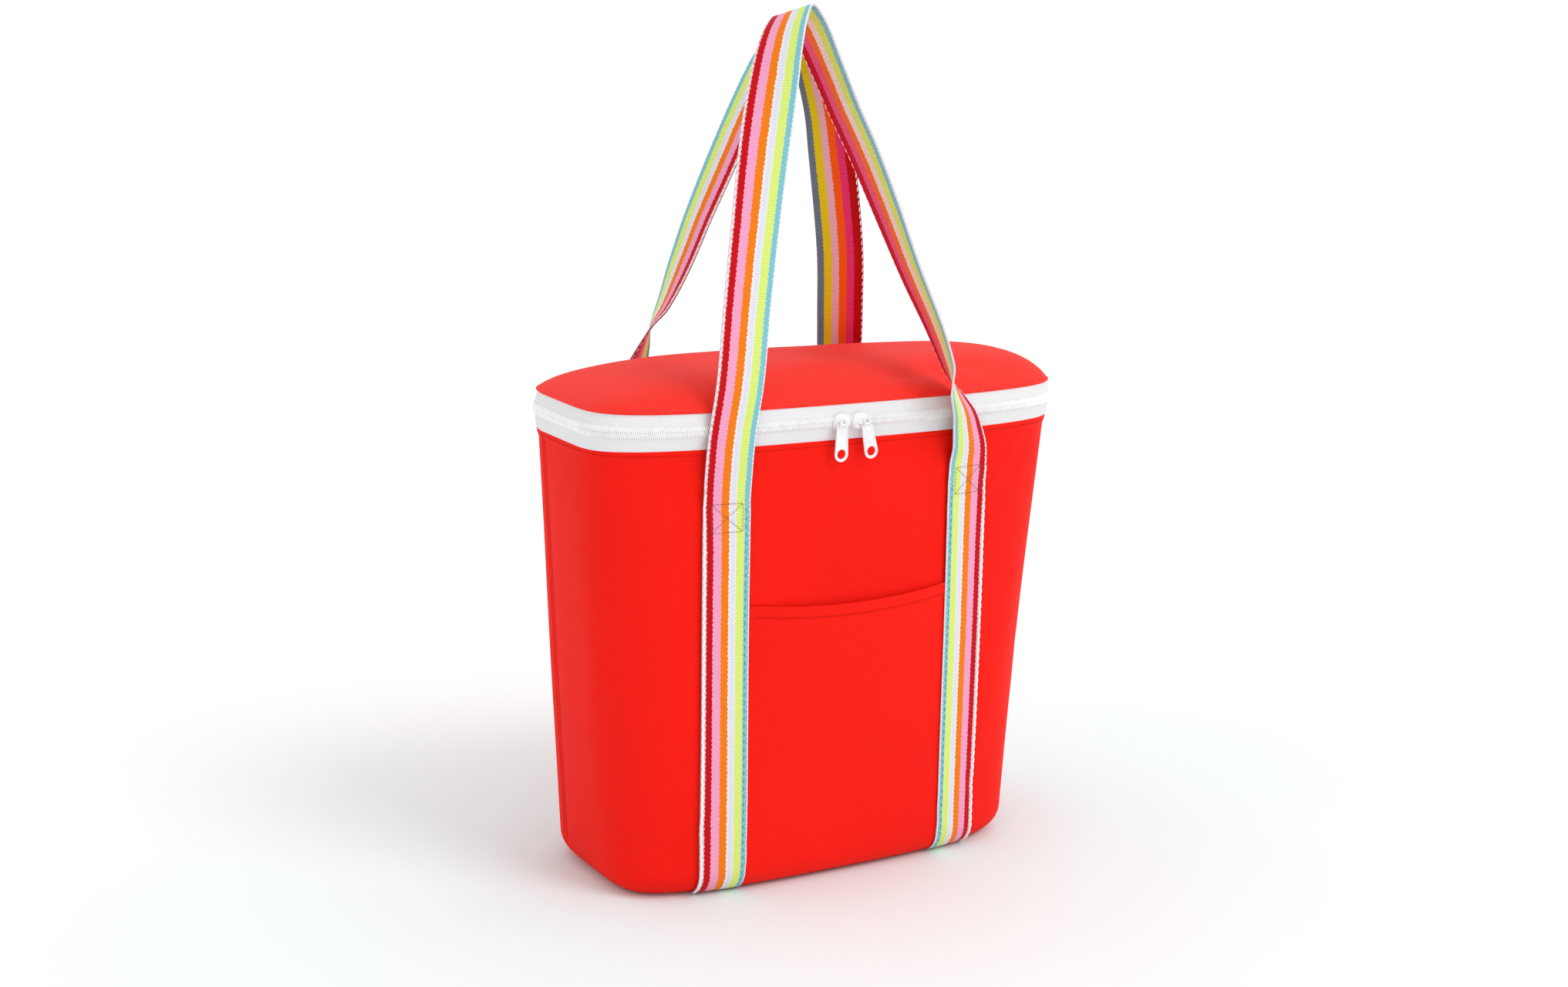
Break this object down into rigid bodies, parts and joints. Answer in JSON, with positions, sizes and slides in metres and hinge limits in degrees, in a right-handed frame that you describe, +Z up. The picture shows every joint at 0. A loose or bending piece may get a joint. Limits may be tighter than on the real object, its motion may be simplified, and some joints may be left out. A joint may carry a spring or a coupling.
{
  "type": "insulated cooler bag",
  "caption": "Soft insulated cooler bag with a zipped padded lid, a front slip pocket and two long striped webbing handles.",
  "frame": {"origin": "centre of the flat base, on the surface the bag stands on", "axes": "+Z up, +X along the bag's length to its right end, -Y towards the front with the pocket"},
  "size_m": [0.419, 0.2263, 0.6703],
  "materials": {
    "red_polyester": "plain-weave coated polyester, softly matt",
    "lid_polyester": "plain-weave coated polyester over foam, softly matt",
    "foam": "closed-cell polyethylene foam",
    "foil_liner": "silver foil laminate",
    "binding": "woven binding tape",
    "zip_tape": "knitted white zip tape",
    "zip_coil": "white polyester coil",
    "webbing": "woven webbing with crimson, pink, orange, white, lime and turquoise stripes",
    "slider_metal": "white enamelled zip slider and pull"
  },
  "bodies": {
    "bag": {"front_panel": "red_polyester", "back_panel": "red_polyester", "base_panel": "red_polyester", "pocket_panel": "red_polyester", "foam_front": "foam", "foam_back": "foam", "foam_base": "foam", "liner_front": "foil_liner", "liner_back": "foil_liner", "liner_base": "foil_liner", "rim_binding": "binding", "side_binding_left": "binding", "side_binding_right": "binding", "lower_zip_tape": "zip_tape", "lower_zip_coil": "zip_coil", "lower_hinge_strip": "zip_tape", "zip_stop_left": "zip_tape", "zip_stop_right": "zip_tape", "front_left_strap": "webbing", "front_right_strap": "webbing", "rear_left_strap": "webbing", "rear_right_strap": "webbing"},
    "lid": {"lid_panel": "lid_polyester", "lid_foam": "foam", "lid_liner": "foil_liner", "upper_zip_tape": "zip_tape", "upper_zip_coil": "zip_coil", "upper_hinge_strip": "zip_tape"},
    "front_tabs": {"front_left_tab": "webbing", "front_right_tab": "webbing"},
    "rear_tabs": {"rear_left_tab": "webbing", "rear_right_tab": "webbing"},
    "front_handle": {"front_handle_loop": "webbing"},
    "rear_handle": {"rear_handle_loop": "webbing"},
    "slider_left": {"slider_left": "slider_metal"},
    "slider_right": {"slider_right": "slider_metal"},
    "pull_left": {"pull_left": "slider_metal"},
    "pull_right": {"pull_right": "slider_metal"}
  },
  "joints": [
    {"name": "lid_hinge", "type": "hinge", "parent": "bag", "child": "lid", "pos_m": [0, 0.0882, 0.365], "axis": [-1, 0, 0], "range_deg": [0, 100]},
    {"name": "front_tabs_hinge", "type": "hinge", "parent": "bag", "child": "front_tabs", "pos_m": [0, -0.0866, 0.3083], "axis": [1, 0, 0], "range_deg": [0, 66]},
    {"name": "rear_tabs_hinge", "type": "hinge", "parent": "bag", "child": "rear_tabs", "pos_m": [0, 0.0866, 0.3083], "axis": [-1, 0, 0], "range_deg": [0, 51]},
    {"name": "front_handle_fold", "type": "hinge", "parent": "front_tabs", "child": "front_handle", "pos_m": [0, -0.0889, 0.3261], "axis": [1, 0, 0], "range_deg": [0, 85]},
    {"name": "rear_handle_fold", "type": "hinge", "parent": "rear_tabs", "child": "rear_handle", "pos_m": [0, 0.0889, 0.3261], "axis": [-1, 0, 0], "range_deg": [0, 95]},
    {"name": "slider_left_slide", "type": "slide", "parent": "bag", "child": "slider_left", "axis": [-1, 0, 0], "range_m": [0, 0.058]},
    {"name": "slider_right_slide", "type": "slide", "parent": "bag", "child": "slider_right", "axis": [1, 0, 0], "range_m": [0, 0.062]},
    {"name": "pull_left_flip", "type": "hinge", "parent": "slider_left", "child": "pull_left", "pos_m": [-0.0176, -0.0928, 0.364], "axis": [-1, 0, 0], "range_deg": [0, 160]},
    {"name": "pull_right_flip", "type": "hinge", "parent": "slider_right", "child": "pull_right", "pos_m": [-0.0014, -0.0928, 0.364], "axis": [-1, 0, 0], "range_deg": [0, 160]}
  ],
  "couplings": [
    {"joint": "front_tabs_hinge", "follows": "lid_hinge", "ratio": 0.65},
    {"joint": "rear_tabs_hinge", "follows": "lid_hinge", "ratio": 0.5}
  ]
}
